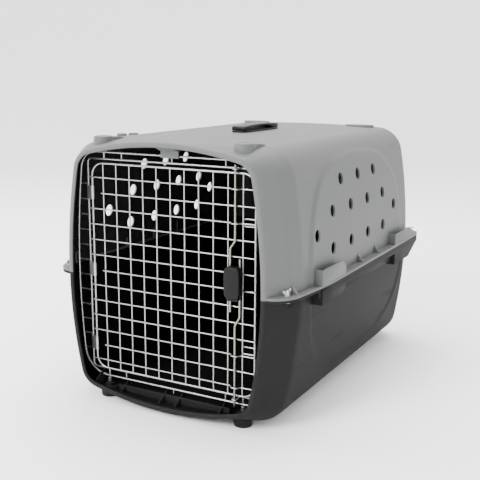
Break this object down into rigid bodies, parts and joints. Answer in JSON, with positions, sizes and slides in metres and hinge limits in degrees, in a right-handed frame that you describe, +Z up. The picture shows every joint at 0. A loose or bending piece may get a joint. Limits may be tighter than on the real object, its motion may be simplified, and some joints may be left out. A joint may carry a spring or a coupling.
{
  "type": "pet transport carrier",
  "caption": "Two-tub plastic pet transport carrier with a hinged wire door, a squeeze latch with two rods, side vents and a lift-up carrying handle.",
  "frame": {"origin": "centre of the footprint at floor level, under the four feet", "axes": "+X to the right seen from the door, +Y from the door to the back wall, +Z up"},
  "size_m": [0.444, 0.595, 0.4365],
  "materials": {
    "lower_plastic": "fine matte grain",
    "upper_plastic": "fine matte grain",
    "bright_wire": "bright plated wire",
    "sleeve": "plain",
    "zinc_hardware": "bright zinc",
    "dark_screw": "black",
    "black_plastic": "satin",
    "strap_metal": "satin",
    "nickel_rod": "polished nickel",
    "spring_steel": "plain"
  },
  "bodies": {
    "carrier": {"lower_shell": "lower_plastic", "upper_shell": "upper_plastic", "frame_outer_wire": "bright_wire", "frame_inner_wire": "bright_wire", "frame_rungs": "bright_wire", "frame_pins": "bright_wire", "frame_pin_sleeves": "sleeve", "rod_eyelets": "bright_wire", "flange_bolts": "zinc_hardware", "flange_washers": "zinc_hardware", "wing_nuts": "zinc_hardware", "handle_base": "black_plastic", "handle_screws": "dark_screw", "hinge_strap_upper": "strap_metal", "hinge_strap_middle": "strap_metal", "hinge_strap_lower": "strap_metal"},
    "handle": {"handle_grip": "black_plastic", "handle_stop_clips": "black_plastic"},
    "door": {"door_rim_wire": "bright_wire", "door_vertical_wires": "bright_wire", "door_horizontal_wires": "bright_wire", "door_guide_wires": "bright_wire", "door_side_loops": "bright_wire"},
    "upper_latch": {"latch_cover": "black_plastic", "upper_latch_rod": "nickel_rod", "latch_spring": "spring_steel"},
    "lower_latch": {"latch_slide": "black_plastic", "lower_latch_rod": "nickel_rod"}
  },
  "joints": [
    {"name": "door_hinge", "type": "hinge", "parent": "carrier", "child": "door", "pos_m": [-0.146, -0.2745, 0.21], "axis": [0, 0, -1], "range_deg": [0, 92]},
    {"name": "upper_latch_slide", "type": "slide", "parent": "door", "child": "upper_latch", "axis": [0, 0, -1], "range_m": [0, 0.008], "stiffness_N_per_m": 400, "springref_m": -0.01, "deforming": ["latch_spring"]},
    {"name": "lower_latch_slide", "type": "slide", "parent": "door", "child": "lower_latch", "axis": [0, 0, 1], "range_m": [0, 0.008], "stiffness_N_per_m": 400, "springref_m": -0.01},
    {"name": "handle_lift", "type": "slide", "parent": "carrier", "child": "handle", "axis": [0, 0, 1], "range_m": [0, 0.014]}
  ],
  "couplings": [
    {"joint": "lower_latch_slide", "follows": "upper_latch_slide", "ratio": 1}
  ]
}
